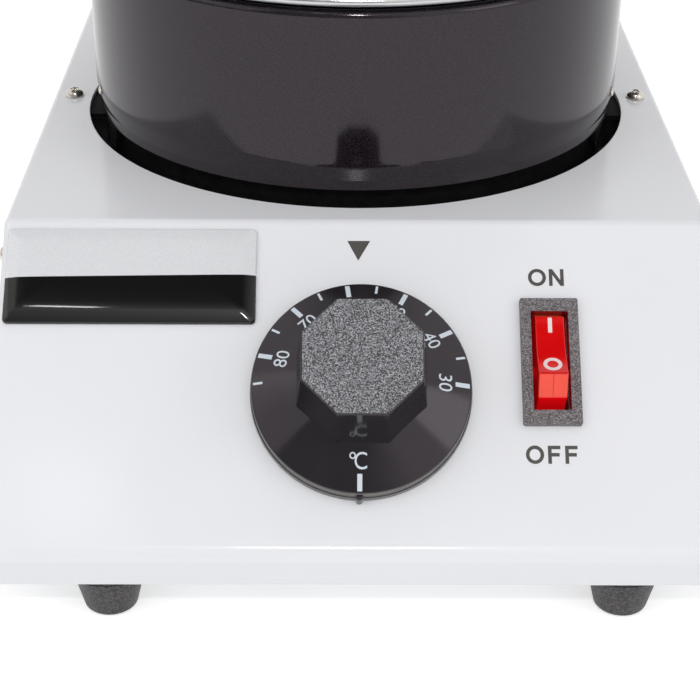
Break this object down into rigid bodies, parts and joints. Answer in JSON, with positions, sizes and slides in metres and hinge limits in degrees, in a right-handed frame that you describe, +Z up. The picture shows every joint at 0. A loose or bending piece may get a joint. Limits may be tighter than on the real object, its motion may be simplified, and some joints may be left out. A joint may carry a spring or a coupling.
{
  "type": "chocolate melting pot",
  "caption": "Countertop chocolate melter: sloped-front white housing, round black jacket, lift-out pan with lid, thermostat dial and lit rocker switch.",
  "frame": {"origin": "on the floor, under the middle of the bounding box", "axes": "+X to the right of someone facing the controls, +Y from the sloped front to the back, +Z up"},
  "size_m": [0.1788, 0.241, 0.1554],
  "materials": {
    "white_paint": "gloss white powder coat",
    "tray_steel": "plain galvanised sheet",
    "rubber": "matt black rubber",
    "nickel": "bright nickel plate",
    "black_satin": "satin black powder coat, fine grain",
    "spun_steel": "spun stainless steel, satin",
    "silicone": "red-brown silicone rubber",
    "black_felt": "black glass-fibre felt",
    "black_plastic": "black moulding, semi-gloss",
    "grey_plastic": "dark grey grained moulding",
    "brass": "plain brass",
    "red_lens": "clear red moulding",
    "badge_resin": "silver and black foil under a clear resin dome",
    "copper": "plain copper",
    "lead_cover": "silicone lead insulation"
  },
  "bodies": {
    "housing": {"top_cover": "white_paint", "back_panel": "white_paint", "chassis_tray": "tray_steel", "foot_front_left": "rubber", "foot_screw_front_left": "nickel", "side_screw_front_left": "nickel", "wall_screw_front_left": "nickel", "foot_front_right": "rubber", "foot_screw_front_right": "nickel", "side_screw_front_right": "nickel", "wall_screw_front_right": "nickel", "foot_rear_left": "rubber", "foot_screw_rear_left": "nickel", "side_screw_rear_left": "nickel", "wall_screw_rear_left": "nickel", "foot_rear_right": "rubber", "foot_screw_rear_right": "nickel", "side_screw_rear_right": "nickel", "wall_screw_rear_right": "nickel", "back_screw_lower_left": "nickel", "back_screw_lower_right": "nickel", "back_screw_upper_left": "nickel", "back_screw_upper_right": "nickel", "deck_screw_left": "nickel", "thermostat_screw_left": "nickel", "inlet_screw_left": "nickel", "jacket_bracket_left": "black_satin", "deck_screw_right": "nickel", "thermostat_screw_right": "nickel", "inlet_screw_right": "nickel", "jacket_bracket_right": "black_satin", "inlet_blade_live": "nickel", "inlet_blade_neutral": "nickel", "inlet_blade_earth": "nickel", "jacket": "black_satin", "heating_vessel": "spun_steel", "heater_band": "silicone", "insulation_wrap": "black_felt", "power_inlet": "black_plastic", "thermostat_body": "grey_plastic", "switch_housing": "grey_plastic", "switch_terminal_1": "brass", "switch_terminal_2": "brass", "switch_terminal_3": "brass", "badge_plate": "badge_resin", "sensor_bulb": "copper", "capillary_tube": "copper", "bulb_clip": "tray_steel", "lead_live": "lead_cover", "lead_switched": "lead_cover", "lead_heater": "lead_cover", "lead_neutral": "lead_cover", "lead_earth": "lead_cover"},
    "pan": {"pan": "spun_steel"},
    "lid": {"lid": "spun_steel", "lid_knob": "black_plastic", "lid_screw": "nickel"},
    "dial": {"control_dial": "black_plastic", "thermostat_spindle": "brass"},
    "rocker": {"rocker": "red_lens"}
  },
  "joints": [
    {"name": "dial_turn", "type": "hinge", "parent": "housing", "child": "dial", "pos_m": [0.0007, -0.09086, 0.04629], "axis": [0, -0.6587, 0.7524], "range_deg": [-86, 87]},
    {"name": "rocker_press", "type": "hinge", "parent": "housing", "child": "rocker", "pos_m": [0.0461, -0.07996, 0.04568], "axis": [1, 0, 0], "range_deg": [0, 28]},
    {"name": "pan_lift", "type": "slide", "parent": "housing", "child": "pan", "axis": [0, 0, 1], "range_m": [0, 0.1]},
    {"name": "lid_lift", "type": "slide", "parent": "pan", "child": "lid", "axis": [0, 0, 1], "range_m": [0, 0.06]}
  ]
}
